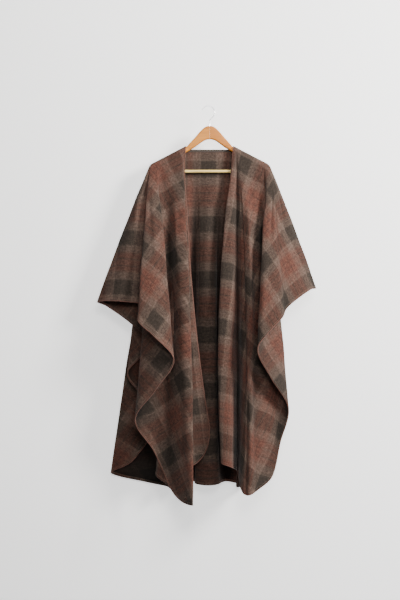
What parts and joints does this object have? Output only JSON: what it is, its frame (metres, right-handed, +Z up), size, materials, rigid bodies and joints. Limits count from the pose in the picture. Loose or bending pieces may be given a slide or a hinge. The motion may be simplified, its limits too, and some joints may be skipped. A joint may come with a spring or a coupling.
{
  "type": "wool cape on a hanger",
  "caption": "Open-fronted plaid wool cape in brown, charcoal and rust, draped over a wooden hanger with a chrome hook and a trouser bar.",
  "frame": {"origin": "inner top of the hanger's hook, where it bears on its nail", "axes": "+Z up along the hanging cape, +X to the right as the cape is seen from its front, +Y towards the wall"},
  "size_m": [0.7833, 0.2241, 1.4027],
  "materials": {
    "wool_face": "brushed wool plaid",
    "wool_back": "brushed wool plaid, inside",
    "neck_tape": "matte tape",
    "hanger_wood": "satin lacquer",
    "bar_wood": "satin",
    "hook_chrome": "polished"
  },
  "bodies": {
    "root": {"cape_front_left": "wool_face", "cape_front_right": "wool_face", "cape_back": "wool_back", "neck_band": "neck_tape", "hanger_arm_left": "hanger_wood", "hanger_arm_right": "hanger_wood", "hanger_bar": "bar_wood", "hanger_hook": "hook_chrome"}
  },
  "joints": []
}
